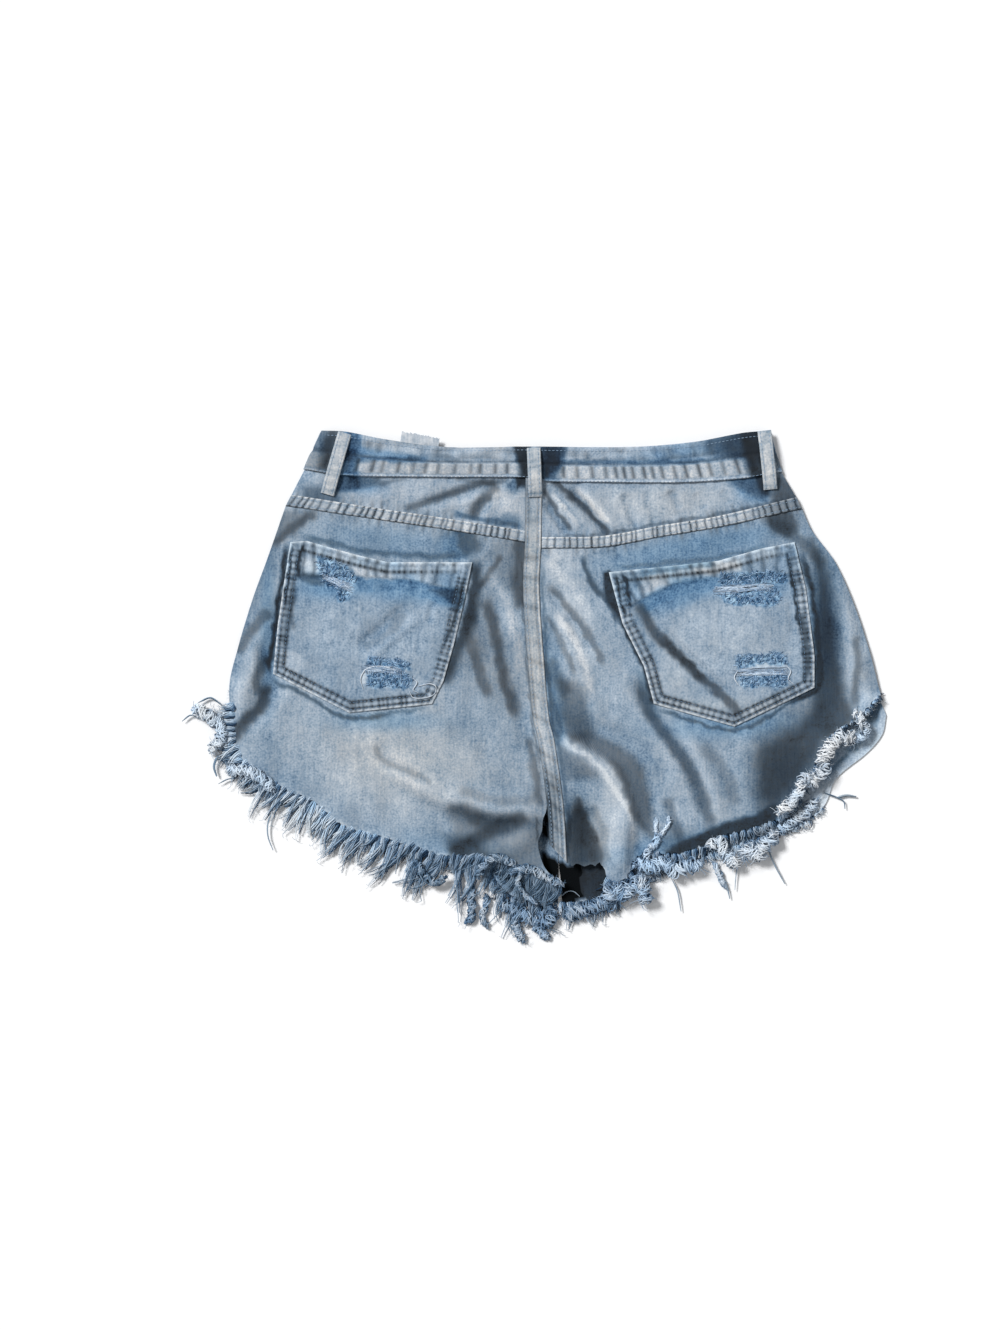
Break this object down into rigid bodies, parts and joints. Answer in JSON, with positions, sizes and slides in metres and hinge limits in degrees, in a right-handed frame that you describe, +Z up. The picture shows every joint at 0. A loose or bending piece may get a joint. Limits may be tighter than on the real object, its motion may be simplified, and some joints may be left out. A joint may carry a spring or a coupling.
{
  "type": "denim shorts",
  "caption": "Cut-off denim shorts with frayed hems, patch pockets, yokes and belt loops, lying flat with the back up.",
  "frame": {"origin": "centre of the garment's plan, on the surface that it lies on", "axes": "+X towards the wearer's right, +Y from the hems to the waist, +Z up from the surface, out of the back"},
  "size_m": [0.5675, 0.4107, 0.0163],
  "materials": {
    "waistband": "washed denim",
    "yoke_left": "washed denim",
    "yoke_right": "washed denim",
    "back_left": "washed denim",
    "back_right": "washed denim",
    "pocket_left": "washed denim, worn through in two places",
    "pocket_right": "washed denim, worn through in two places",
    "front_left": "washed denim",
    "front_right": "washed denim",
    "fly": "denim",
    "label": "woven tape, blank",
    "loop_back_left": "worn denim",
    "loop_centre": "worn denim",
    "loop_back_right": "worn denim",
    "loop_front_left": "worn denim",
    "loop_front_right": "worn denim",
    "button": "aged metal",
    "fringe_back_left": "frayed cotton",
    "fringe_back_right": "frayed cotton",
    "fringe_front_left": "frayed cotton",
    "fringe_front_right": "frayed cotton"
  },
  "bodies": {
    "root": {"waistband": "waistband", "yoke_left": "yoke_left", "yoke_right": "yoke_right", "back_left": "back_left", "back_right": "back_right", "pocket_left": "pocket_left", "pocket_right": "pocket_right", "front_left": "front_left", "front_right": "front_right", "fly": "fly", "label": "label", "loop_back_left": "loop_back_left", "loop_centre": "loop_centre", "loop_back_right": "loop_back_right", "loop_front_left": "loop_front_left", "loop_front_right": "loop_front_right", "button": "button", "fringe_back_left": "fringe_back_left", "fringe_back_right": "fringe_back_right", "fringe_front_left": "fringe_front_left", "fringe_front_right": "fringe_front_right"}
  },
  "joints": []
}
